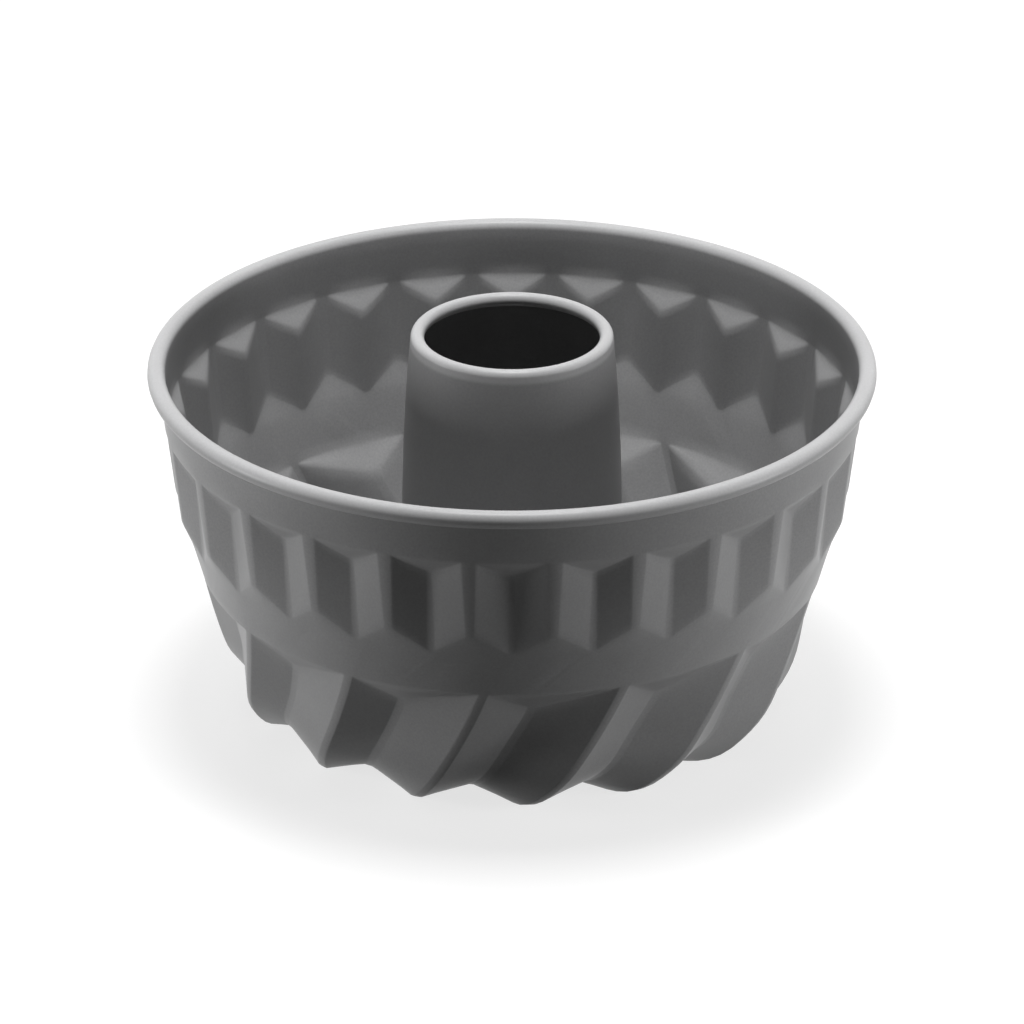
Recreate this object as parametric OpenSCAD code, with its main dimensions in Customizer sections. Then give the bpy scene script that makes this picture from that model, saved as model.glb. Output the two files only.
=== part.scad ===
// Fluted ring cake mould in coated sheet steel.
// Z is up and the Z axis is the axis of the centre tube. The swirled ribs rest on Z = 0.
// Angles run from the front, -Y, towards +X.

/* [Rim] */
// Outer diameter across the rolled rim
rim_d = 220; // [200:1:250]
// Thickness of the sheet steel
sheet_t = 0.7; // [0.5:0.1:1]
// Diameter of the wire inside the rolled rim
wire_d = 3.6; // [3:0.1:5]
// Clearance round the wire
wire_gap = 0.2; // [0.15:0.05:0.4]
// Gap between the free edge of the rolled rim and the collar
curl_gap = 0.2; // [0.1:0.05:0.5]
// Height of the plain collar, from the flutes to the middle of the rim
collar_h = 15; // [10:0.5:30]

/* [Upright flutes] */
// Number of upright flutes round the wall
flute_n = 26; // [18:2:34]
// Height of the fluted zone, from the belt to the collar
flute_h = 33; // [24:0.5:60]
// Depth of a flute below the collar, at its top
flute_in = 4.4; // [3:0.1:6]
// Height of the slanted face at the top of a flute
flute_cap_h = 6.2; // [4:0.1:9]
// Inset of a rib's foot from the collar
rib_in = 3; // [1:0.1:4]
// Height of the slanted face under a rib
rib_foot_h = 7.6; // [4:0.1:10]

/* [Belt] */
// Height of the plain belt between the two fluted zones
belt_h = 15; // [8:0.5:30]
// Inset of the belt's upper edge from the collar
belt_top_in = 6.3; // [5:0.1:9]
// Inset of the belt's lower edge from the collar
belt_foot_in = 10.6; // [9.5:0.1:15]

/* [Swirl] */
// Number of swirled flutes in the lower part
swirl_n = 14; // [10:2:18]
// Height of the swirled part above the table
swirl_h = 48; // [42:0.5:60]
// Angle of the first swirled rib at its top
swirl_start = -5; // [-12:0.5:12]
// Turn of the ribs for each millimetre of their length
swirl_rate = 0.207; // [0:0.005:0.3]
// Growth of that turn along the ribs
swirl_gain = 0.0025; // [0:0.0001:0.003]
// Depth of a groove behind the belt's lower edge, at its top
groove_in = 7.1; // [5:0.1:8.5]
// Height of the slanted face at the top of a groove
groove_cap_h = 8; // [6:0.1:12]
// Inset of the knee in a rib's profile
knee_in = 8; // [6.5:0.1:10]
// Height of the knee in a rib's profile
knee_z = 13.2; // [11:0.1:18]
// Inset of the bottom corner of a rib's profile
base_in = 18.1; // [16:0.1:22]
// Inset of the knee in a groove's profile
groove_knee_in = 11.2; // [10.4:0.1:11.8]
// Height of the knee in a groove's profile
groove_knee_z = 24.9; // [22:0.1:28]
// Inset of the bottom corner of a groove's profile
groove_base_in = 11.9; // [11.9:0.1:14]
// Height of the grooves' floor and of the tube's seat above the table
seat_z = 5.8; // [4:0.1:8]

/* [Bends] */
// Bend radius at a rib's knee
knee_bend = 26; // [15:1:30]
// Bend radius at a rib's bottom corner
base_bend = 14; // [8:0.5:16]
// Bend radius at a groove's knee
groove_knee_bend = 36; // [20:1:50]
// Bend radius at a groove's bottom corner
groove_base_bend = 15.4; // [8:0.1:17]
// Width of the crest of a rib and of the root of a groove
crest_w = 2.4; // [1.5:0.1:3.5]

/* [Tube] */
// Height of the tube's top above the rim's top
tube_rise = 9.3; // [0:0.1:25]
// Outer diameter of the tube at its lip
tube_top_d = 61.3; // [50:0.1:64]
// Outer diameter of the tube at its waist
tube_waist_d = 66.8; // [64:0.1:68]
// Height of the waist above the table
tube_waist_z = 62; // [40:1:80]
// Outer diameter of the tube at its foot
tube_foot_d = 69; // [68:0.1:76]
// Outer radius of the rolled lip
lip_r = 2.1; // [1.6:0.1:3]
// Gap between the free edge of the lip and the tube's wall
lip_gap = 0.2; // [0.1:0.05:0.5]
// Width of the flange under the seat
flange_w = 6; // [4:0.1:8]
// Clearance between the tube and the hole in the floor
hole_gap = 0.3; // [0.2:0.05:0.6]
// Width of the seat beyond the flange
seat_margin = 1.5; // [1:0.1:3]
// Length of the ramp from the ribs up to the seat
seat_ramp = 6; // [5:0.1:10]

/* [Hidden] */

steel = "dimgray";
wire_steel = "silver";
round_fn = 96;

// Rolled rim
curl_in_r = wire_d / 2 + wire_gap;
curl_out_r = curl_in_r + sheet_t;
rim_r = rim_d / 2 - curl_out_r;
collar_r = rim_r - curl_in_r;
curl_end = -acos((curl_gap - curl_in_r) / curl_out_r);
curl_low_steps = 5;
curl_top_steps = 6;

// Heights, stacked up from the table
belt_top_z = swirl_h + belt_h;
collar_foot_z = belt_top_z + flute_h;
rim_z = collar_foot_z + collar_h;
tube_top_z = rim_z + curl_out_r + tube_rise;
blend_h = 1;

// Radii of the wall and of the floor
belt_top_r = collar_r - belt_top_in;
belt_foot_r = collar_r - belt_foot_in;
foot_r = tube_foot_d / 2;
hole_r = foot_r + hole_gap;
flange_r = foot_r + flange_w;
seat_r = flange_r + seat_margin;
rib_end_r = seat_r + seat_ramp;

// Columns of points: two on each rib and two in each groove
flute_cols = 4;
flute_step = 360 / flute_n;
swirl_step = 360 / swirl_n;
belt_start = flute_step / 2;
swirl_rows = 14;
swirl_lead = 0.42;
swirl_lead_end = 0.48;

// Geometry helpers
function at(phi, r, z) = [r * sin(phi), -r * cos(phi), z];
function lerp(a, b, t) = a + (b - a) * t;
function unit(v) = v / norm(v);
function wrap(i, n) = ((i % n) + n) % n;
function flipped(list) = [for (i = [len(list) - 1 : -1 : 0]) list[i]];
function flat(lists) = [for (list = lists) for (item = list) item];
function angle_of(width, r) = width / r * 180 / PI;

// Profile with rounded corners, as a list of points
function corner(a, b, c, r) =
    let (u = unit(a - b), v = unit(c - b), half = acos(u * v) / 2,
         centre = b + unit(u + v) * r / sin(half),
         from = b + u * r / tan(half) - centre, to = b + v * r / tan(half) - centre,
         sweep = 180 - 2 * half, side = sign(from[0] * to[1] - from[1] * to[0]), steps = 12)
    [for (i = [0 : steps]) let (w = side * sweep * i / steps)
        centre + [from[0] * cos(w) - from[1] * sin(w), from[0] * sin(w) + from[1] * cos(w)]];
function rounded(p, r) =
    concat([p[0]], flat([for (i = [1 : len(p) - 2]) corner(p[i - 1], p[i], p[i + 1], r[i - 1])]),
           [p[len(p) - 1]]);

// Point at a given length along a profile
function lengths(p, i = 1, sum = [0]) =
    i == len(p) ? sum : lengths(p, i + 1, concat(sum, [sum[i - 1] + norm(p[i] - p[i - 1])]));
function along(p, sums, s, i = 1) =
    (i == len(p) - 1 || s <= sums[i])
    ? lerp(p[i - 1], p[i], (s - sums[i - 1]) / (sums[i] - sums[i - 1]))
    : along(p, sums, s, i + 1);

// Rings of points
function even_ring(n, start, r, z) = [for (j = [0 : n - 1]) at(start + j * 360 / n, r, z)];
function fluted_ring(n, start, lead, rib, groove) =
    let (step = 360 / n, rib_a = angle_of(crest_w / 2, rib[0]), groove_a = angle_of(crest_w / 2, groove[0]))
    flat([for (k = [0 : n - 1]) let (phi = start + k * step) [
        at(phi + rib_a, rib[0], rib[1]),
        at(phi + lead - groove_a, groove[0], groove[1]),
        at(phi + lead + groove_a, groove[0], groove[1]),
        at(phi + step - rib_a, rib[0], rib[1])]]);

// Outer face of the upright flutes, from the collar down to the belt
function rib_r(z) = collar_r - rib_in * (collar_foot_z - z) / (collar_foot_z - rib_foot_z);
rib_foot_z = belt_top_z + rib_foot_h;
flute_top_z = collar_foot_z - flute_cap_h;
flute_top_r = collar_r - flute_in;
function groove_r(z) = lerp(flute_top_r, belt_top_r, (flute_top_z - z) / (flute_top_z - belt_top_z));
function flute_row(rib, groove) = fluted_ring(flute_n, belt_start, flute_step / 2, rib, groove);
upper_rows = [
    flute_row([collar_r, collar_foot_z], [collar_r, collar_foot_z]),
    flute_row([rib_r(flute_top_z), flute_top_z], [flute_top_r, flute_top_z]),
    flute_row([rib_r(rib_foot_z), rib_foot_z], [groove_r(rib_foot_z), rib_foot_z]),
    flute_row([belt_top_r, belt_top_z], [belt_top_r, belt_top_z]),
    even_ring(flute_n * flute_cols, belt_start, belt_r(belt_top_z - blend_h), belt_top_z - blend_h)];
function belt_r(z) = lerp(belt_foot_r, belt_top_r, (z - swirl_h) / belt_h);

// Profiles of the swirled ribs and grooves, from the belt down and over the floor
rib_line = rounded([[belt_foot_r, swirl_h], [belt_foot_r - knee_in, knee_z],
                    [belt_foot_r - base_in, 0], [rib_end_r, 0]], [knee_bend, base_bend]);
groove_line = rounded([[belt_foot_r - groove_in, swirl_h - groove_cap_h],
                       [belt_foot_r - groove_knee_in, groove_knee_z],
                       [belt_foot_r - groove_base_in, seat_z], [rib_end_r, seat_z]],
                      [groove_knee_bend, groove_base_bend]);
rib_sums = lengths(rib_line);
groove_sums = lengths(groove_line);
rib_len = rib_sums[len(rib_line) - 1];
groove_len = groove_sums[len(groove_line) - 1];
function turn(s) = swirl_start - swirl_rate * s - swirl_gain * s * s;
function lead(t) = swirl_step * lerp(swirl_lead, swirl_lead_end, t);
function swirl_row(t) =
    let (s = lerp(groove_cap_h, rib_len, t))
    fluted_ring(swirl_n, turn(s), lead(t), along(rib_line, rib_sums, s),
                along(groove_line, groove_sums, groove_len * t));
blend_start = swirl_start + swirl_step / 8;
seat_start = turn(rib_len + seat_ramp) + swirl_step / 8;
lower_rows = concat(
    [even_ring(swirl_n * flute_cols, blend_start, belt_r(swirl_h + blend_h), swirl_h + blend_h),
     fluted_ring(swirl_n, swirl_start, turn(groove_cap_h) - swirl_start + lead(0),
                 [belt_foot_r, swirl_h], [belt_foot_r, swirl_h])],
    [for (i = [0 : swirl_rows]) swirl_row(i / swirl_rows)],
    [even_ring(swirl_n * flute_cols, seat_start, seat_r, seat_z),
     even_ring(swirl_n * flute_cols, seat_start, hole_r, seat_z)]);

// Inner face: each point of the outer face moved in by the thickness of the sheet
function inward(rows, i, j) =
    let (n = len(rows[i]), last = len(rows) - 1,
         across = rows[i][wrap(j + 1, n)] - rows[i][wrap(j - 1, n)],
         down = rows[min(i + 1, last)][j] - rows[max(i - 1, 0)][j])
    unit(cross(across, down));
function inner(rows) =
    [for (i = [0 : len(rows) - 1]) [for (j = [0 : len(rows[i]) - 1])
        rows[i][j] + sheet_t * inward(rows, i, j)]];

// Rolled rim, from its free edge over the top to the collar
curl_angles = concat([for (i = [0 : curl_low_steps - 1]) curl_end * (1 - i / curl_low_steps)],
                     [for (i = [0 : curl_top_steps]) 180 * i / curl_top_steps]);
function curl_rows(r) = [for (a = curl_angles)
    even_ring(flute_n * flute_cols, belt_start, rim_r + r * cos(a), rim_z + r * sin(a))];

// The whole sheet as one closed loop of rings: down the outer face and back up the inner face
outer_rings = concat(curl_rows(curl_in_r), upper_rows, lower_rows);
inner_rings = concat(curl_rows(curl_out_r), inner(upper_rows), inner(lower_rows));
rings = concat(outer_rings, flipped(inner_rings));
ring_sizes = [for (r = rings) len(r)];
function ring_firsts(i = 1, firsts = [0]) =
    i == len(rings) ? firsts : ring_firsts(i + 1, concat(firsts, [firsts[i - 1] + ring_sizes[i - 1]]));
firsts = ring_firsts();
function ring_start(n) = n == flute_n * flute_cols ? belt_start : blend_start;

// Faces between two rings with as many points, with each fold running from a rib into a groove
function quads(a, b, n, inside) =
    flat([for (j = [0 : n - 1]) let (k = wrap(j + 1, n), other = j % flute_cols == (inside ? 0 : 2))
        other ? [[a + j, a + k, b + j], [a + k, b + k, b + j]]
              : [[a + j, a + k, b + k], [a + j, b + k, b + j]]]);
// Faces between two even rings with different numbers of points
function mate(j, na, nb) = round((ring_start(na) - ring_start(nb) + (j + 0.5) * 360 / na) * nb / 360);
function fans(a, b, na, nb) =
    flat([for (j = [0 : na - 1]) let (m0 = mate(j - 1, na, nb), m1 = mate(j, na, nb))
        concat([[a + j, a + wrap(j + 1, na), b + wrap(m1, nb)]],
               [for (m = [m0 : 1 : m1 - 1]) [a + j, b + wrap(m + 1, nb), b + wrap(m, nb)]])]);
function strip(i) =
    let (k = wrap(i + 1, len(rings)), na = ring_sizes[i], nb = ring_sizes[k])
    na == nb ? quads(firsts[i], firsts[k], na, i >= len(outer_rings)) : fans(firsts[i], firsts[k], na, nb);
shell_faces = flat([for (i = [0 : len(rings) - 1]) strip(i)]);

module fluted_shell() {
    color(steel) polyhedron(points = flat(rings), faces = shell_faces, convexity = 10);
}

module rim_wire() {
    color(wire_steel) translate([0, 0, rim_z])
        rotate_extrude($fn = round_fn) translate([rim_r, 0]) circle(d = wire_d, $fn = round_fn / 2);
}

// Outer profile of the tube: a cone up to the waist, then drawn in to the lip
lip_z = tube_top_z - lip_r;
tube_r = tube_top_d / 2;
waist_r = tube_waist_d / 2;
waist_steps = 8;
tube_outer = concat([[foot_r, seat_z]],
    [for (i = [0 : waist_steps]) let (t = i / waist_steps)
        [waist_r - (waist_r - tube_r) * t * t, lerp(tube_waist_z, lip_z, t)]]);
tube_inner = [for (p = tube_outer) p - [sheet_t, 0]];
lip_end = 360 - acos((lip_r - sheet_t - lip_gap) / lip_r);
lip_steps = 24;
function lip(r, from, to) = [for (i = [1 : lip_steps]) let (a = lerp(from, to, i / lip_steps))
    [tube_r - lip_r + r * cos(a), lip_z + r * sin(a)]];
// Bend between the tube's wall and its flange
foot_bend = [for (a = [180 : 15 : 270]) [foot_r + sheet_t * cos(a), seat_z + sheet_t * sin(a)]];

module centre_tube() {
    color(steel) rotate_extrude($fn = round_fn)
        polygon(concat([[flange_r, seat_z - sheet_t], [flange_r, seat_z]], tube_outer,
                       lip(lip_r, 0, lip_end),
                       concat([[tube_r - lip_r + (lip_r - sheet_t) * cos(lip_end),
                                lip_z + (lip_r - sheet_t) * sin(lip_end)]],
                              lip(lip_r - sheet_t, lip_end, 0)),
                       [for (i = [len(tube_inner) - 2 : -1 : 1]) tube_inner[i]], foot_bend));
}

fluted_shell();
rim_wire();
centre_tube();
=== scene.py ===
"""Pudding mould: a fluted ring cake tin in coated sheet steel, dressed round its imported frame."""

import math

import bmesh
import bpy
from bpy.props import FloatProperty, FloatVectorProperty, IntProperty, PointerProperty
from bpy.types import Operator, Panel, PropertyGroup
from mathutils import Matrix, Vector


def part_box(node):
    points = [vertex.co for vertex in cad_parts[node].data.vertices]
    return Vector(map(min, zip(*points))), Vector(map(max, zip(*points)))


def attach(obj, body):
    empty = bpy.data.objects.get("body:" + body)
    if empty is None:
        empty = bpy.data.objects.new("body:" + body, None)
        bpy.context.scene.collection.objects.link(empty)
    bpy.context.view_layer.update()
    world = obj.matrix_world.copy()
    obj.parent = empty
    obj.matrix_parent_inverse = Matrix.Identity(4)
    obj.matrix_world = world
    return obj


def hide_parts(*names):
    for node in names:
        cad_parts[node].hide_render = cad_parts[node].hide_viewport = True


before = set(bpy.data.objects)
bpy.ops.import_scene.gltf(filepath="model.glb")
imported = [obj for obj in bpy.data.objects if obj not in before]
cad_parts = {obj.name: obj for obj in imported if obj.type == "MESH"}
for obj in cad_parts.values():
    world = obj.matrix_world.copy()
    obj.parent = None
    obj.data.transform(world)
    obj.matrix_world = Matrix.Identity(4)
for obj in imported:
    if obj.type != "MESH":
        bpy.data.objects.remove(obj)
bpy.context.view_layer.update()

bl_info = {
    "name": "Pudding mould",
    "version": (1, 0, 0),
    "blender": (4, 5, 0),
    "location": "3D View > Sidebar > Mould",
    "description": "Presses a fluted ring cake mould out of sheet steel and sets it on a pale table",
    "category": "Add Mesh",
}

MM = 0.001
SHELL_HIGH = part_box("fluted_shell")[1]
TUBE_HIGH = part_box("centre_tube")[1]
WIRE_LOW, WIRE_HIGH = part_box("rim_wire")

# Steps along the parts of the pressed wall and of the tube
ROLL_STEPS, SWIRL_STEPS = 15, 24
TUBE_COLUMNS, BODY_STEPS, NECK_STEPS, LIP_STEPS = 192, 8, 16, 30
BEND_STEPS = 12

# How strongly the steps gather at the folds, across a face and from row to row
FACE_EASE, ROW_EASE = 0.8, 0.9
# Height over which a fold runs out into a plain ring
SLIVER = 0.5 * MM
# How much the pressed faces are evened out
PRESS_EVENING = 0.6

# A swirled rib's corners, each inside the belt's foot and at a height, and the radii of its bends
RIB_CORNERS, RIB_BENDS = ((8 * MM, 13.2 * MM), (18.1 * MM, 0)), (26 * MM, 14 * MM)
# How far inside the belt's foot a groove starts, bends and meets the floor, and the radii there
GROOVE_HEAD, GROOVE_KNEE, GROOVE_HEEL = 7.1 * MM, 11.2 * MM, 11.9 * MM
GROOVE_KNEE_Z, GROOVE_BENDS = 24.9 * MM, (36 * MM, 15.4 * MM)
# Where a groove lies between two ribs at its top and at its foot, as a share of their step
LEAD_TOP, LEAD_FOOT = 0.42, 0.48
# Share of the swirl in which the ribs come out of the belt's lower edge
RIB_START = 0.15


def length(name, description, default):
    """A size in metres, shown in the scene's own unit."""
    return FloatProperty(name=name, description=description, default=default,
                         min=0, subtype="DISTANCE", unit="LENGTH")


class MouldRim(PropertyGroup):
    radius: length("Rim radius", "Outer radius of the rolled rim", SHELL_HIGH.x)
    sheet: length("Sheet", "Thickness of the sheet steel", 0.7 * MM)
    roll: length("Roll radius", "Radius of the roll on the side of its wire", 2 * MM)
    height: length("Rim height", "Height of the middle of the roll", (WIRE_LOW.z + WIRE_HIGH.z) / 2)
    open_angle: FloatProperty(name="Free edge", description="Angle at which the roll's free edge ends",
                              default=math.radians(-131.8), subtype="ANGLE", unit="ROTATION")


class MouldFlutes(PropertyGroup):
    count: IntProperty(name="Flutes", description="Number of upright flutes", default=26, min=6)
    top: length("Top", "Height of the collar's foot", 96 * MM)
    foot: length("Foot", "Height of the belt's upper edge", 63 * MM)
    cap: length("Cap", "Height of the slanted face over a flute", 6.2 * MM)
    step: length("Foot face", "Height of the slanted face under a rib", 7.6 * MM)
    depth: length("Depth", "Depth of a flute at its top", 4.4 * MM)
    rib_in: length("Rib inset", "Inset of a rib's foot", 3 * MM)
    belt_in: length("Belt inset", "Inset of the belt's upper edge", 6.3 * MM)
    crest: length("Crest", "Width of a rib's crest", 2.2 * MM)
    root: length("Root", "Width of a flute's root", 1.2 * MM)
    root_foot: length("Root at the foot", "Width of a flute's root at its foot", 2 * MM)
    crest_top: length("Crest top", "Width of a rib's crest at its top", 4 * MM)


class MouldSwirl(PropertyGroup):
    count: IntProperty(name="Swirls", description="Number of swirled flutes", default=14, min=6)
    top: length("Top", "Height of the belt's lower edge", 48 * MM)
    cap: length("Cap", "Height of the slanted face over a groove", 8 * MM)
    crest: length("Crest", "Width of a rib's crest and of a groove's root", 2.6 * MM)
    belt_r: length("Belt radius", "Radius of the belt's lower edge", 94.7 * MM)
    seat_z: length("Seat height", "Height of the tube's seat", 5.8 * MM)
    seat_r: length("Seat radius", "Radius of the flat seat round the tube", 42 * MM)
    rib_end_r: length("Rib end", "Radius at which the ribs end", 48 * MM)
    hole_r: length("Hole radius", "Radius of the hole for the tube", 34.8 * MM)
    start: FloatProperty(name="Start", description="Angle of the first rib at its top",
                         default=math.radians(-5), subtype="ANGLE", unit="ROTATION")
    turn: FloatProperty(name="Turn", description="Turn of the ribs for each metre of their length",
                        default=math.radians(207))
    gain: FloatProperty(name="Gain", description="Growth of the turn along the ribs",
                        default=math.radians(2500))


class MouldTube(PropertyGroup):
    foot_r: length("Foot radius", "Radius at the tube's foot", 34.5 * MM)
    flange_r: length("Flange radius", "Outer radius of the flange under the seat", TUBE_HIGH.x)
    waist_r: length("Waist radius", "Radius at the tube's waist", 33.4 * MM)
    waist_z: length("Waist height", "Height of the tube's waist", 62 * MM)
    top_r: length("Lip radius", "Outer radius of the tube at its lip", 30.65 * MM)
    lip_r: length("Lip roll", "Radius of the rolled lip", 2.1 * MM)
    top: length("Tube top", "Height of the lip's top", TUBE_HIGH.z)
    lip_end: FloatProperty(name="Lip end", description="Angle at which the lip's free edge ends",
                           default=math.radians(304.85), subtype="ANGLE", unit="ROTATION")


def colour(name, description, default):
    """A linear colour."""
    return FloatVectorProperty(name=name, description=description, default=default,
                               min=0, max=1, subtype="COLOR")


class MouldFinish(PropertyGroup):
    coating: colour("Coating", "Colour of the non-stick coating", (0.3, 0.3, 0.303))
    wire: colour("Wire", "Colour of the bare steel wire", (0.56, 0.57, 0.58))
    floor: colour("Table", "Colour of the table", (0.3, 0.3, 0.3))
    grain: length("Grain", "Depth of the coating's fine grain", 0.03 * MM)
    # Painted highlight: the rolled rim and the tube's lip are given a lighter colour that stands in for
    # the light on them
    painted_highlight: FloatProperty(name="Painted highlight", description="How much lighter the rolled rim and lip are",
                           default=0.44, min=0)


# Columns and profiles

def polar(phi, radius, height):
    """Point at an angle from the front, -Y, towards +X."""
    return Vector((radius * math.sin(phi), -radius * math.cos(phi), height))


def mix(a, b, t):
    """The value at share t between a and b."""
    return a + (b - a) * t


def eased(t):
    """A share from 0 to 1 with its steps gathered at both ends, where the folds are."""
    return mix(t, 0.5 - 0.5 * math.cos(math.pi * t), FACE_EASE)


def gathered(t):
    """A share from 0 to 1 with its few steps close to both ends."""
    return mix(t, t * t * t * (t * (6 * t - 15) + 10), ROW_EASE)


def across(q, half, a, b, arc=False):
    """Point number q of half between two folds.

    Each fold is an angle, a radius, a height and a crest's width. The first and last steps are the flat
    crests; the face between them is plane, or an arc round the axis.
    """
    (angle_a, r_a, z_a, crest_a), (angle_b, r_b, z_b, crest_b) = a, b
    if q == 0:
        return polar(angle_a, r_a, z_a)
    if q == half:
        return polar(angle_b, r_b, z_b)
    way = 1 if angle_b > angle_a else -1
    edge_a = angle_a + way * crest_a / r_a / 2
    edge_b = angle_b - way * crest_b / r_b / 2
    t = eased((q - 1) / (half - 2))
    if arc:
        return polar(mix(edge_a, edge_b, t), mix(r_a, r_b, t), mix(z_a, z_b, t))
    return polar(edge_a, r_a, z_a).lerp(polar(edge_b, r_b, z_b), t)


def rounded(corners, bends):
    """A profile through corners, each inner one bent to its radius."""
    points = [Vector(corners[0])]
    for before, corner, after, bend in zip(corners, corners[1:], corners[2:], bends):
        corner = Vector(corner)
        u, v = (Vector(before) - corner).normalized(), (Vector(after) - corner).normalized()
        half = u.angle(v) / 2
        centre = corner + (u + v).normalized() * bend / math.sin(half)
        start, end = (corner + w * bend / math.tan(half) - centre for w in (u, v))
        for i in range(BEND_STEPS + 1):
            points.append(centre + bend * start.slerp(end, i / BEND_STEPS))
    return points + [Vector(corners[-1])]


class Profile:
    """A line in radius and height that is read by its length."""

    def __init__(self, points):
        self.points = points
        self.sums = [0.0]
        for a, b in zip(points, points[1:]):
            self.sums.append(self.sums[-1] + (b - a).length)
        self.length = self.sums[-1]

    def at(self, s):
        """The point at length s."""
        s = min(max(s, 0.0), self.length)
        i = next(i for i in range(1, len(self.sums)) if s <= self.sums[i] + 1e-12)
        share = (s - self.sums[i - 1]) / (self.sums[i] - self.sums[i - 1])
        return self.points[i - 1].lerp(self.points[i], share)


class PressedWall:
    """Where each column of the blank goes when the mould is pressed, row by row."""

    def __init__(self, rim, flutes, swirl):
        self.rim, self.flutes, self.swirl = rim, flutes, swirl
        self.columns = 4 * math.lcm(flutes.count, swirl.count)
        self.roll_r = rim.radius - rim.roll - rim.sheet
        self.collar_r = self.roll_r - rim.roll
        self.belt_top_r = self.collar_r - flutes.belt_in
        foot = swirl.belt_r
        self.rib_line = Profile(rounded(
            [(foot, swirl.top), *((foot - inset, z) for inset, z in RIB_CORNERS), (swirl.rib_end_r, 0)],
            RIB_BENDS))
        self.groove_line = Profile(rounded(
            [(foot - GROOVE_HEAD, swirl.top - swirl.cap), (foot - GROOVE_KNEE, GROOVE_KNEE_Z),
             (foot - GROOVE_HEEL, swirl.seat_z), (swirl.rib_end_r, swirl.seat_z)],
            GROOVE_BENDS))

    def upright(self, j):
        """The two folds, groove and rib, that a column of the upright flutes lies between."""
        per = self.columns // self.flutes.count
        k, q = divmod(j, per)
        half = per // 2
        step = math.tau / self.flutes.count
        groove = k if q <= half else k + 1
        return groove * step, (k + 0.5) * step, (q if q <= half else per - q), half

    def swirled(self, j, rib_turn, groove_turn):
        """The two folds, rib and groove, that a column of the swirl lies between."""
        per = self.columns // self.swirl.count
        k, q = divmod(j, per)
        half = per // 2
        step = math.tau / self.swirl.count
        rib = k if q <= half else k + 1
        return rib * step + rib_turn, k * step + groove_turn, (q if q <= half else per - q), half

    def turn(self, s):
        """Angle that a rib has turned by at length s of its profile."""
        return self.swirl.start - self.swirl.turn * s - self.swirl.gain * s * s

    def lead(self, t):
        """Angle from a rib to the groove beside it, at share t of the swirl."""
        return math.tau / self.swirl.count * mix(LEAD_TOP, LEAD_FOOT, t)

    def upright_circle(self, radius, height, rise=0.0, drop=0.0, crest=None, root=None):
        """A plain ring in the upright columns, raised at its ribs and lowered at its grooves."""
        crest, root = crest or self.flutes.crest, root or self.flutes.root

        def point(j):
            groove, rib, q, half = self.upright(j)
            z = height + rise * (q / half) ** 4 - drop * (1 - q / half) ** 4
            r = radius(z) if callable(radius) else radius
            return across(q, half, (groove, r, z, root), (rib, r, z, crest), arc=True)
        return point

    def upright_ring(self, rib_at, groove_at, crest=None, root=None):
        """A ring of the upright flutes, from each groove's place out to each rib's."""
        crest, root = crest or self.flutes.crest, root or self.flutes.root

        def point(j):
            groove, rib, q, half = self.upright(j)
            return across(q, half, (groove, *groove_at, root), (rib, *rib_at, crest))
        return point

    def swirl_circle(self, radius, height, rib_turn, groove_turn):
        """A plain ring in the swirl's columns."""
        crest = self.swirl.crest

        def point(j):
            rib, groove, q, half = self.swirled(j, rib_turn, groove_turn)
            ends = (rib, radius, height, crest), (groove, radius, height, crest)
            return across(q, half, *ends, arc=True)
        return point

    def swirl_ring(self, t):
        """The swirl's ring at share t of its way from the belt to the seat."""
        s = mix(self.swirl.cap, self.rib_line.length, t)
        fan = max(0.0, 1 - t / RIB_START)
        rib_s = s - (self.swirl.cap - SLIVER) * fan * fan
        rib_at, groove_at = self.rib_line.at(rib_s), self.groove_line.at(self.groove_line.length * t)
        rib_turn, groove_turn = self.turn(rib_s), self.turn(s) + self.lead(t)
        crest = self.swirl.crest

        def point(j):
            rib, groove, q, half = self.swirled(j, rib_turn, groove_turn)
            return across(q, half, (rib, *rib_at, crest), (groove, *groove_at, crest))
        return point

    def belt_at(self, z):
        """Radius of the belt at a height."""
        share = (z - self.swirl.top) / (self.flutes.foot - self.swirl.top)
        return mix(self.swirl.belt_r, self.belt_top_r, share)

    def rib_at(self, z):
        """Radius of an upright rib at a height."""
        top, foot = self.flutes.top, self.flutes.foot + self.flutes.step
        return self.collar_r - self.flutes.rib_in * (top - z) / (top - foot)

    def groove_at(self, z):
        """Radius of an upright groove at a height."""
        top, foot = self.flutes.top - self.flutes.cap, self.flutes.foot
        return mix(self.collar_r - self.flutes.depth, self.belt_top_r, (top - z) / (top - foot))

    def rows(self):
        """The wall's rings from the free edge of the roll to the hole for the tube.

        Also the numbers of the first ring that is pressed and of the first flat one round the tube.
        """
        rim, flutes, swirl = self.rim, self.flutes, self.swirl
        made = []
        for i in range(ROLL_STEPS):
            a = mix(rim.open_angle, math.pi, i / ROLL_STEPS)
            made.append(self.upright_circle(self.roll_r + rim.roll * math.cos(a),
                                            rim.height + rim.roll * math.sin(a)))
        rib_top, rib_foot = flutes.top - SLIVER, flutes.foot + flutes.step
        groove_foot = flutes.foot + SLIVER
        swirl_top = self.turn(0), self.turn(swirl.cap) + self.lead(0)
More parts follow.
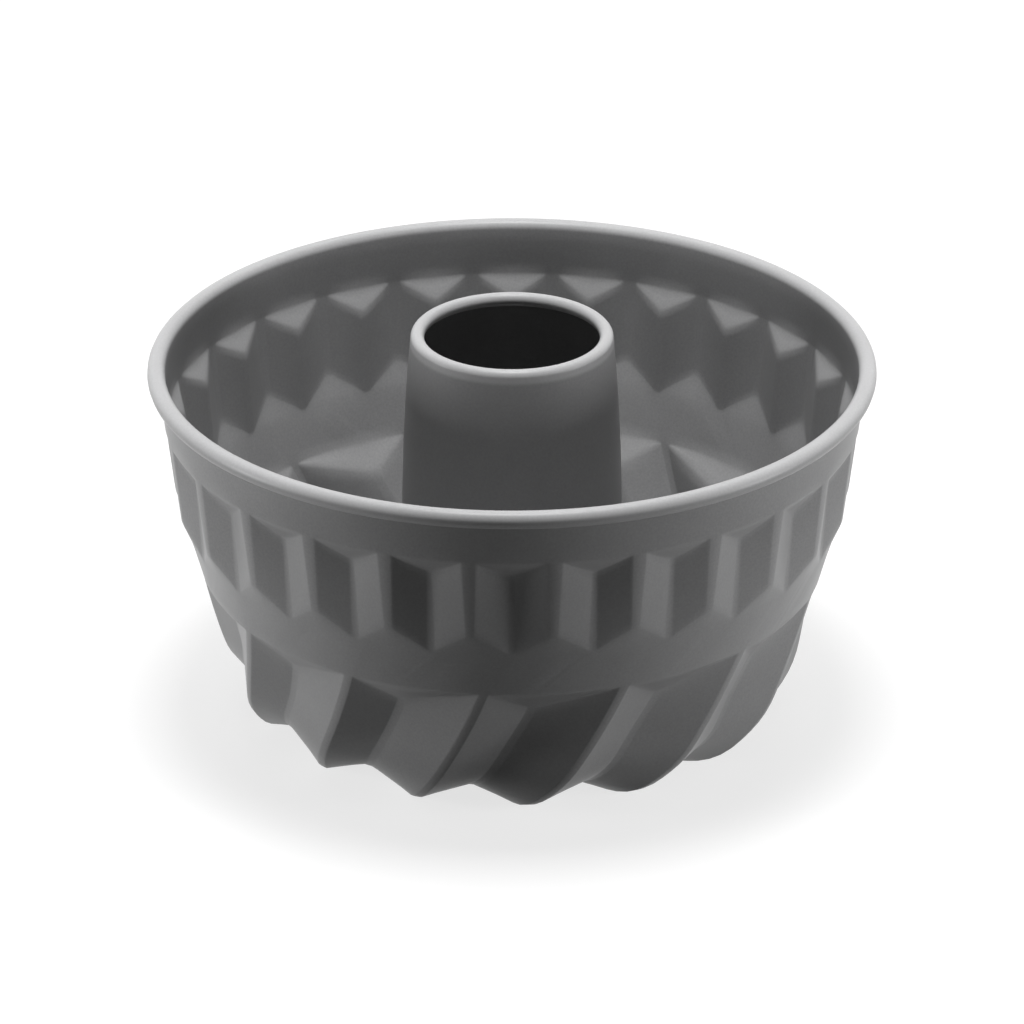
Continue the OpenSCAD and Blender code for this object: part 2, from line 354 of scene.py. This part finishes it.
        # Each main ring and the number of steps down to the next one
        keys = [
            (self.upright_circle(self.collar_r, rim.height), 3),
            (self.upright_circle(self.collar_r, flutes.top, rise=SLIVER, crest=flutes.crest_top), 4),
            (self.upright_ring((self.rib_at(rib_top), rib_top),
                               (self.collar_r - flutes.depth, flutes.top - flutes.cap),
                               flutes.crest_top), 5),
            (self.upright_ring((self.rib_at(rib_foot), rib_foot),
                               (self.groove_at(groove_foot), groove_foot),
                               root=flutes.root_foot), 4),
            (self.upright_circle(self.belt_at, flutes.foot, drop=SLIVER, root=flutes.root_foot), 3),
            (self.swirl_circle(swirl.belt_r, swirl.top, *swirl_top), 4),
            (self.swirl_ring(0), 0),
        ]
        for (ring, steps), (after, _) in zip(keys, keys[1:]):
            made += [self.between(ring, after, gathered(i / steps)) for i in range(steps)]
        made += [self.swirl_ring(i / SWIRL_STEPS) for i in range(SWIRL_STEPS + 1)]
        end = self.rib_line.length + swirl.rib_end_r - swirl.seat_r
        seat, hole = [self.swirl_circle(r, swirl.seat_z, self.turn(end), self.turn(end) + self.lead(1))
                      for r in (swirl.seat_r, swirl.hole_r)]
        flat = [seat, self.between(seat, hole, 0.5), hole]
        made += [self.between(self.swirl_ring(1), seat, 0.5), *flat]
        return made, ROLL_STEPS + 1, len(made) - len(flat)

    def between(self, a, b, t):
        """The ring at share t of the way from ring a to ring b."""
        return lambda j: a(j).lerp(b(j), t)


# Making pieces

def new_piece(name, bm, material, stands_for):
    """Puts a finished mesh in the scene, riding on the mould."""
    for face in bm.faces:
        face.smooth = True
    mesh = bpy.data.meshes.new(name)
    bm.to_mesh(mesh)
    bm.free()
    piece = bpy.data.objects.new(name, mesh)
    bpy.context.scene.collection.objects.link(piece)
    mesh.materials.append(material)
    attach(piece, "root")
    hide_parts(stands_for)
    return piece


def spun(bm, steps):
    """Turns the line in bm once round the Z axis and closes the seam."""
    bmesh.ops.spin(bm, geom=bm.verts[:] + bm.edges[:], cent=(0, 0, 0), axis=(0, 0, 1),
                   dvec=(0, 0, 0), angle=math.tau, steps=steps, use_merge=True,
                   use_normal_flip=False, use_duplicate=False)
    bmesh.ops.remove_doubles(bm, verts=bm.verts[:], dist=1e-7)


def face_outwards(bm):
    """Makes a wall's faces point all one way, with its large upright ones away from the axis."""
    bmesh.ops.recalc_face_normals(bm, faces=bm.faces[:])
    bm.normal_update()
    outwards = 0.0
    for face in bm.faces:
        centre = face.calc_center_median()
        outwards += face.calc_area() * (face.normal.x * centre.x + face.normal.y * centre.y)
    if outwards <= 0:
        bmesh.ops.reverse_faces(bm, faces=bm.faces[:])
    bm.normal_update()


def thicken(piece, sheet):
    """Gives the sheet its thickness, inwards from the modelled outer face."""
    wall = piece.modifiers.new("sheet", "SOLIDIFY")
    wall.thickness = sheet
    wall.offset = -1
    wall.use_even_offset = True
    wall.use_quality_normals = True


def line_of(bm, points):
    """Joins points, each (radius, height), to a line in front of the axis."""
    verts = [bm.verts.new(polar(0, r, z)) for r, z in points]
    for a, b in zip(verts, verts[1:]):
        bm.edges.new((a, b))
    return verts


# Materials

# Specular level of the satin coating
COATING_GLOSS = 0.2
# Size of the noises in the coating, and their detail
GRAIN_NOISE, SLOW_NOISE = (1400, 3), (26, 4)
# Height over which the painted highlight of the rim and lip sets in, and where it starts: how far under
# the middle of the rim's roll on its inner side, and under the middle of the tube's lip
HIGHLIGHT_FADE = 1.5 * MM
RIM_HIGHLIGHT_REACH, LIP_HIGHLIGHT_REACH = 0.5 * MM, 2.5 * MM


def socketed_group(name, inputs, outputs):
    """A shader node group with its sockets, and the nodes at its two ends."""
    group = bpy.data.node_groups.new(name, "ShaderNodeTree")
    for kind, label, value in inputs:
        socket = group.interface.new_socket(label, in_out="INPUT", socket_type=kind)
        socket.default_value = value
    for kind, label in outputs:
        group.interface.new_socket(label, in_out="OUTPUT", socket_type=kind)
    return group, group.nodes.new("NodeGroupInput"), group.nodes.new("NodeGroupOutput")


def reckon(tree, kind, operation, *terms):
    """A Math or Vector Math node on sockets and plain numbers."""
    node = tree.nodes.new(kind)
    node.operation = operation
    for socket, term in zip(node.inputs, terms):
        if isinstance(term, bpy.types.NodeSocket):
            tree.links.new(term, socket)
        else:
            socket.default_value = term
    return node


def maths(tree, operation, *terms):
    """The result of a Math node."""
    return reckon(tree, "ShaderNodeMath", operation, *terms).outputs["Value"]


def noise_at(tree, place, scale, detail):
    """Noise of a scale and detail at a place."""
    noise = tree.nodes.new("ShaderNodeTexNoise")
    noise.inputs["Scale"].default_value = scale
    noise.inputs["Detail"].default_value = detail
    tree.links.new(place, noise.inputs["Vector"])
    return noise.outputs["Fac"]


def coating_group():
    """Fine spray grain and slow mottling of a baked coating, and a painted highlight that makes it
    lighter above an edge.

    The edge is a height plus, for a lean of 1, the radius, so that it parts a roll's inside from its
    outside.
    """
    known = bpy.data.node_groups.get("baked_coating")
    if known:
        return known
    group, given, out = socketed_group(
        "baked_coating",
        [("NodeSocketColor", "Tint", (0.5, 0.5, 0.5, 1)), ("NodeSocketFloat", "Roughness", 0.4),
         ("NodeSocketFloat", "Mottle", 0.1), ("NodeSocketFloat", "Edge", 1.0),
         ("NodeSocketFloat", "Lean", 0.0), ("NodeSocketFloat", "Painted highlight", 0.0)],
        [("NodeSocketColor", "Colour"), ("NodeSocketFloat", "Roughness"),
         ("NodeSocketFloat", "Height")])
    nodes, links, asked = group.nodes, group.links, given.outputs
    place = nodes.new("ShaderNodeTexCoord").outputs["Object"]
    grain, slow = noise_at(group, place, *GRAIN_NOISE), noise_at(group, place, *SLOW_NOISE)

    swing = nodes.new("ShaderNodeMapRange")
    swing.inputs["From Max"].default_value = 2
    swing.inputs["To Min"].default_value = -1
    swing.inputs["To Max"].default_value = 1
    links.new(maths(group, "ADD", slow, grain), swing.inputs["Value"])
    gain = maths(group, "ADD", maths(group, "MULTIPLY", swing.outputs["Result"], asked["Mottle"]), 1)

    axes = nodes.new("ShaderNodeSeparateXYZ")
    links.new(place, axes.inputs[0])
    level = reckon(group, "ShaderNodeVectorMath", "MULTIPLY", place, (1, 1, 0)).outputs["Vector"]
    radius = reckon(group, "ShaderNodeVectorMath", "LENGTH", level).outputs["Value"]
    # Painted highlight: the tint is made lighter above the edge, over the rim's roll and the tube's lip
    highlight_ramp = nodes.new("ShaderNodeMapRange")
    highlight_ramp.interpolation_type = "SMOOTHSTEP"
    reach = maths(group, "MULTIPLY_ADD", radius, asked["Lean"], axes.outputs["Z"])
    links.new(reach, highlight_ramp.inputs["Value"])
    links.new(asked["Edge"], highlight_ramp.inputs["From Min"])
    links.new(maths(group, "ADD", asked["Edge"], HIGHLIGHT_FADE), highlight_ramp.inputs["From Max"])
    links.new(asked["Painted highlight"], highlight_ramp.inputs["To Max"])

    tint = nodes.new("ShaderNodeVectorMath")
    tint.operation = "SCALE"
    links.new(asked["Tint"], tint.inputs[0])
    links.new(maths(group, "ADD", gain, highlight_ramp.outputs["Result"]), tint.inputs["Scale"])
    links.new(tint.outputs["Vector"], out.inputs["Colour"])
    links.new(maths(group, "MULTIPLY", asked["Roughness"], gain), out.inputs["Roughness"])
    links.new(grain, out.inputs["Height"])
    return group


def coated_steel(name, tint, grain, roughness, mottle, metallic=0.0, edge=1.0, lean=0.0, painted_highlight=0.0):
    """Satin non-stick coating on steel, with a painted highlight that makes it lighter above an edge.
    """
    material = bpy.data.materials.new(name)
    material.use_nodes = True
    nodes, links = material.node_tree.nodes, material.node_tree.links
    shader = nodes["Principled BSDF"]
    coat = nodes.new("ShaderNodeGroup")
    coat.node_tree = coating_group()
    values = {"Tint": (*tint, 1), "Roughness": roughness, "Mottle": mottle,
              "Edge": edge, "Lean": lean, "Painted highlight": painted_highlight}
    for label, value in values.items():
        coat.inputs[label].default_value = value
    bump = nodes.new("ShaderNodeBump")
    bump.inputs["Distance"].default_value = grain
    bump.inputs["Strength"].default_value = 0.5
    links.new(coat.outputs["Colour"], shader.inputs["Base Color"])
    links.new(coat.outputs["Roughness"], shader.inputs["Roughness"])
    links.new(coat.outputs["Height"], bump.inputs["Height"])
    links.new(bump.outputs["Normal"], shader.inputs["Normal"])
    shader.inputs["Metallic"].default_value = metallic
    shader.inputs["Specular IOR Level"].default_value = COATING_GLOSS
    material.diffuse_color = (*tint, 1)
    return material


# Operators

class MOULD_OT_press_shell(Operator):
    """Spin the blank and press its flutes, belt, swirl and floor"""
    bl_idname = "mould.press_shell"
    bl_label = "Fluted shell"

    def execute(self, context):
        scene = context.scene
        rim, finish = scene.mould_rim, scene.mould_finish
        wall = PressedWall(rim, scene.mould_flutes, scene.mould_swirl)
        rings, first_pressed, first_flat = wall.rows()
        bm = bmesh.new()
        row = bm.verts.layers.int.new("row")
        rib_column = wall.columns // scene.mould_flutes.count // 2
        blank = []
        for ring in rings:
            p = ring(rib_column)
            blank.append((math.hypot(p.x, p.y), p.z))
        for i, vert in enumerate(line_of(bm, blank)):
            vert[row] = i
        spun(bm, wall.columns)
        if len(bm.verts) != len(rings) * wall.columns:
            raise RuntimeError("the spun blank doesn't have one point for each row and column")
        for vert in bm.verts:
            j = round(math.atan2(vert.co.x, -vert.co.y) / math.tau * wall.columns) % wall.columns
            vert.co = rings[vert[row]](j)
        pressed = [v for v in bm.verts if first_pressed <= v[row] < first_flat]
        bmesh.ops.smooth_vert(bm, verts=pressed, factor=PRESS_EVENING,
                              use_axis_x=True, use_axis_y=True, use_axis_z=True)
        face_outwards(bm)
        # The shell's coating gets a painted highlight over the rim's roll
        steel = coated_steel("coated_steel", finish.coating, finish.grain, roughness=0.38, mottle=0.3,
                             edge=rim.height + wall.roll_r - rim.roll - RIM_HIGHLIGHT_REACH, lean=1,
                             painted_highlight=finish.painted_highlight)
        shell = new_piece("pressed_shell", bm, steel, "fluted_shell")
        thicken(shell, rim.sheet)
        return {"FINISHED"}


class MOULD_OT_draw_tube(Operator):
    """Spin the tube with its rolled lip and its flange"""
    bl_idname = "mould.draw_tube"
    bl_label = "Centre tube"

    def execute(self, context):
        scene = context.scene
        tube, seat = scene.mould_tube, scene.mould_swirl.seat_z
        lip_z = tube.top - tube.lip_r
        line = [(tube.flange_r, seat), (mix(tube.flange_r, tube.foot_r, 0.5), seat),
                (tube.foot_r, seat)]
        line += [(mix(tube.foot_r, tube.waist_r, i / BODY_STEPS),
                  mix(seat, tube.waist_z, i / BODY_STEPS)) for i in range(1, BODY_STEPS)]
        line += [(tube.waist_r - (tube.waist_r - tube.top_r) * (i / NECK_STEPS) ** 2,
                  mix(tube.waist_z, lip_z, i / NECK_STEPS)) for i in range(NECK_STEPS + 1)]
        line += [(tube.top_r - tube.lip_r + tube.lip_r * math.cos(a), lip_z + tube.lip_r * math.sin(a))
                 for a in (tube.lip_end * i / LIP_STEPS for i in range(1, LIP_STEPS + 1))]
        bm = bmesh.new()
        line_of(bm, line)
        spun(bm, TUBE_COLUMNS)
        face_outwards(bm)
        finish = scene.mould_finish
        # The tube's coating gets a painted highlight over its lip
        steel = coated_steel("coated_tube", finish.coating, finish.grain, roughness=0.36, mottle=0.25,
                             edge=lip_z - LIP_HIGHLIGHT_REACH, painted_highlight=finish.painted_highlight)
        piece = new_piece("drawn_tube", bm, steel, "centre_tube")
        thicken(piece, scene.mould_rim.sheet)
        return {"FINISHED"}


class MOULD_OT_finish_wire(Operator):
    """Give the wire inside the rolled rim its bare drawn steel"""
    bl_idname = "mould.finish_wire"
    bl_label = "Rim wire"

    def execute(self, context):
        finish = context.scene.mould_finish
        steel = coated_steel("drawn_wire", finish.wire, finish.grain, roughness=0.3, mottle=0.2,
                             metallic=1.0)
        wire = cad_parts["rim_wire"]
        for slot in wire.material_slots:
            slot.material = steel
        if not wire.material_slots:
            wire.data.materials.append(steel)
        return {"FINISHED"}


# Soft lamps: name, place, width, height, power
LAMPS = (
    ("top_box", (0, 0, 1.5), 0.45, 0.45, 22),
    ("back_box", (0, 0.95, 1.35), 1.2, 0.6, 8),
    ("left_box", (-0.55, -0.11, 0.1), 0.14, 0.16, 1.3),
    ("right_box", (0.55, -0.17, 0.1), 0.14, 0.16, 1.3),
)
LAMP_AIM = (0, 0, 0.06)
# Light of the room in front and behind, and how far towards each it keeps changing
ROOM_FRONT, ROOM_BACK, ROOM_FADE = 0.02, 0.05, 0.7
# The table's size, the share of its colour that lights the mould, and the white added to its look
TABLE_RADIUS, TABLE_SIDES = 14, 96
TABLE_BOUNCE = 0.12
TABLE_LIFT = 0.74
CAMERA_PLACE, CAMERA_AIM = (0.00001, -2.0933, 1.0571), (0, 0, 0.06258)
CAMERA_LENS, CAMERA_SENSOR, CAMERA_REACH = 267.49, 36, 60


def turned_to(target, place):
    """Rotation that points a lamp or camera from its place to a target."""
    return (Vector(target) - Vector(place)).to_track_quat("-Z", "Y").to_euler()


def lamp(name, place, width, height, power):
    """A soft box, unseen by the camera, that faces the mould."""
    data = bpy.data.lights.new(name, "AREA")
    data.shape = "RECTANGLE"
    data.size, data.size_y = width, height
    data.energy = power
    obj = bpy.data.objects.new(name, data)
    bpy.context.scene.collection.objects.link(obj)
    obj.location = place
    obj.rotation_euler = turned_to(LAMP_AIM, place)
    obj.visible_camera = False


def seen_ray(tree):
    """1 for what the camera sees, in reflections and through glass too."""
    path = tree.nodes.new("ShaderNodeLightPath").outputs
    seen = maths(tree, "MAXIMUM", path["Is Camera Ray"], path["Is Glossy Ray"])
    return maths(tree, "MAXIMUM", seen, path["Is Transmission Ray"])


class MOULD_OT_set_stage(Operator):
    """Lay the pale table, hang the soft lamps and set the camera"""
    bl_idname = "mould.set_stage"
    bl_label = "Stage"

    def execute(self, context):
        scene = context.scene
        bm = bmesh.new()
        bmesh.ops.create_circle(bm, cap_ends=True, radius=TABLE_RADIUS, segments=TABLE_SIDES)
        mesh = bpy.data.meshes.new("table")
        bm.to_mesh(mesh)
        bm.free()
        table = bpy.data.objects.new("table", mesh)
        scene.collection.objects.link(table)
        mesh.materials.append(self.table_paint(scene.mould_finish.floor))
        self.light_world(scene)
        for name, place, width, height, power in LAMPS:
            lamp(name, place, width, height, power)
        scene.view_settings.view_transform = "Standard"
        data = bpy.data.cameras.new("camera")
        data.lens, data.sensor_width = CAMERA_LENS, CAMERA_SENSOR
        data.clip_end = CAMERA_REACH
        camera = bpy.data.objects.new("camera", data)
        scene.collection.objects.link(camera)
        camera.location = CAMERA_PLACE
        camera.rotation_euler = turned_to(CAMERA_AIM, CAMERA_PLACE)
        scene.camera = camera
        return {"FINISHED"}

    def table_paint(self, tint):
        """Matt pale paint that throws little of its light back on the mould."""
        material = bpy.data.materials.new("table_paint")
        material.use_nodes = True
        tree = material.node_tree
        shader = tree.nodes["Principled BSDF"]
        shader.inputs["Roughness"].default_value = 1
        shader.inputs["Specular IOR Level"].default_value = 0
        shader.inputs["Emission Color"].default_value = (1, 1, 1, 1)
        seen = seen_ray(tree)
        paint = tree.nodes.new("ShaderNodeMix")
        paint.data_type = "RGBA"
        paint.inputs["A"].default_value = (*(TABLE_BOUNCE * part for part in tint), 1)
        paint.inputs["B"].default_value = (*tint, 1)
        tree.links.new(seen, paint.inputs["Factor"])
        tree.links.new(paint.outputs["Result"], shader.inputs["Base Color"])
        tree.links.new(maths(tree, "MULTIPLY", seen, TABLE_LIFT), shader.inputs["Emission Strength"])
        return material

    def light_world(self, scene):
        """White where the camera and reflections look, and a dim room that lights the mould."""
        world = bpy.data.worlds.new("studio")
        world.use_nodes = True
        scene.world = world
        nodes, links = world.node_tree.nodes, world.node_tree.links
        shown = nodes["Background"]
        shown.inputs["Color"].default_value = (1, 1, 1, 1)
        split = nodes.new("ShaderNodeSeparateXYZ")
        links.new(nodes.new("ShaderNodeTexCoord").outputs["Generated"], split.inputs[0])
        fade = nodes.new("ShaderNodeMapRange")
        fade.interpolation_type = "SMOOTHSTEP"
        fade.inputs["From Min"].default_value = -ROOM_FADE
        fade.inputs["From Max"].default_value = ROOM_FADE
        fade.inputs["To Min"].default_value = ROOM_FRONT
        fade.inputs["To Max"].default_value = ROOM_BACK
        links.new(split.outputs["Y"], fade.inputs["Value"])
        strength = nodes.new("ShaderNodeMix")
        links.new(seen_ray(world.node_tree), strength.inputs["Factor"])
        links.new(fade.outputs["Result"], strength.inputs["A"])
        strength.inputs["B"].default_value = 1
        links.new(strength.outputs["Result"], shown.inputs["Strength"])


STEPS = (MOULD_OT_press_shell, MOULD_OT_draw_tube, MOULD_OT_finish_wire, MOULD_OT_set_stage)


class MOULD_PT_sidebar(Panel):
    """The mould's pieces and sizes"""
    bl_idname = "MOULD_PT_sidebar"
    bl_label = "Pudding mould"
    bl_space_type = "VIEW_3D"
    bl_region_type = "UI"
    bl_category = "Mould"

    def draw(self, context):
        for name in SETTINGS:
            box = self.layout.box()
            group = getattr(context.scene, name)
            for key in group.__annotations__:
                box.prop(group, key)
        for step in STEPS:
            self.layout.operator(step.bl_idname)


SETTINGS = {
    "mould_rim": MouldRim,
    "mould_flutes": MouldFlutes,
    "mould_swirl": MouldSwirl,
    "mould_tube": MouldTube,
    "mould_finish": MouldFinish,
}


def register():
    for group in SETTINGS.values():
        bpy.utils.register_class(group)
    for cls in (*STEPS, MOULD_PT_sidebar):
        bpy.utils.register_class(cls)
    for name, group in SETTINGS.items():
        setattr(bpy.types.Scene, name, PointerProperty(type=group))


def unregister():
    for name in SETTINGS:
        delattr(bpy.types.Scene, name)
    for cls in (MOULD_PT_sidebar, *reversed(STEPS)):
        bpy.utils.unregister_class(cls)
    for group in reversed(SETTINGS.values()):
        bpy.utils.unregister_class(group)


def main():
    register()
    bpy.ops.mould.press_shell()
    bpy.ops.mould.draw_tube()
    bpy.ops.mould.finish_wire()
    bpy.ops.mould.set_stage()


if __name__ == "__main__":
    main()
